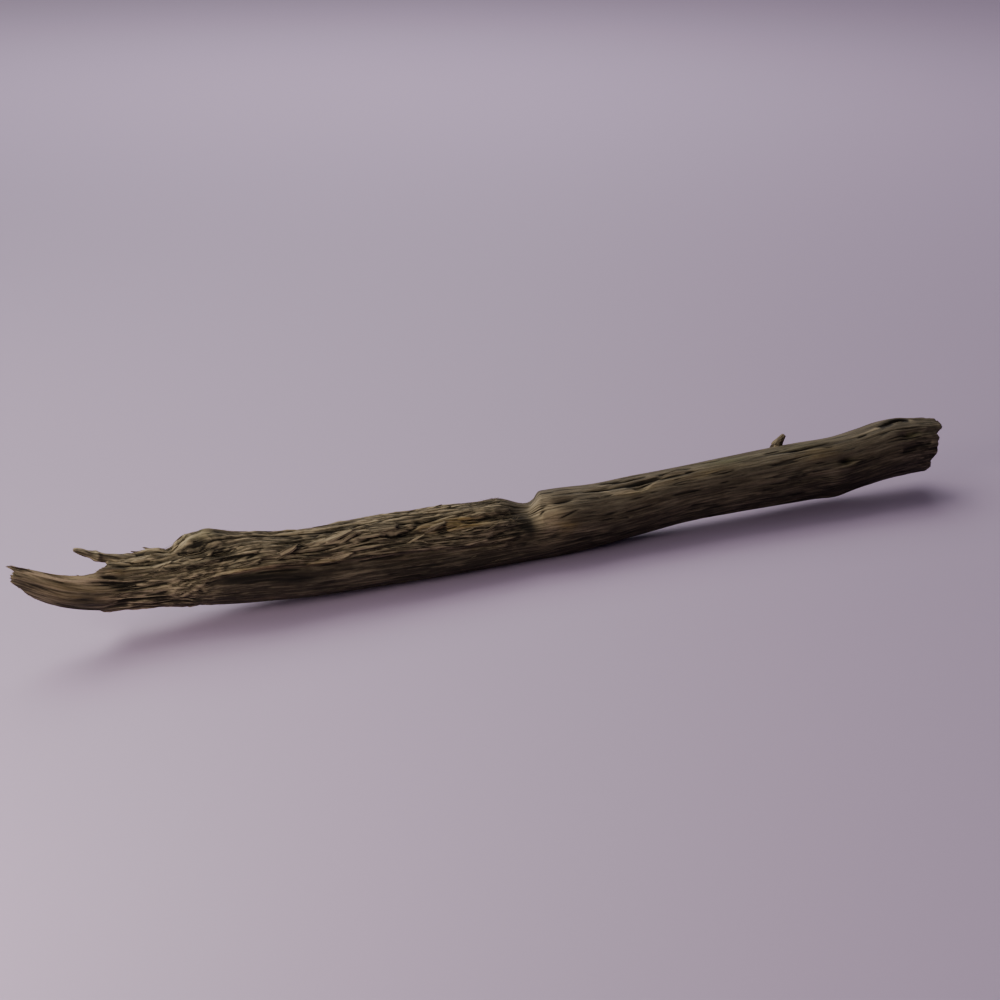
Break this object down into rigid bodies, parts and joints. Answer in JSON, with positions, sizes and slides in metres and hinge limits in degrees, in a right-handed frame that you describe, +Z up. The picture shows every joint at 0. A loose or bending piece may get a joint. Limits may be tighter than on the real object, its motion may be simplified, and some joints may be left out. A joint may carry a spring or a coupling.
{
  "type": "fallen tree trunk",
  "caption": "Weathered fallen tree trunk with a forked, torn left end, a burl, a notch across the top and a stepped break at the right end.",
  "frame": {"origin": "on the ground, under the middle of the trunk's box", "axes": "+X along the trunk from its forked end to its stepped end, +Z up, -Y the side the picture shows"},
  "size_m": [2.7982, 0.194, 0.2432],
  "materials": {
    "weathered_wood": "dry, grey-brown weathered wood, rough and stringy on the left half, smoother with fine grain on the right half"
  },
  "bodies": {
    "root": {"trunk": "weathered_wood"}
  },
  "joints": []
}
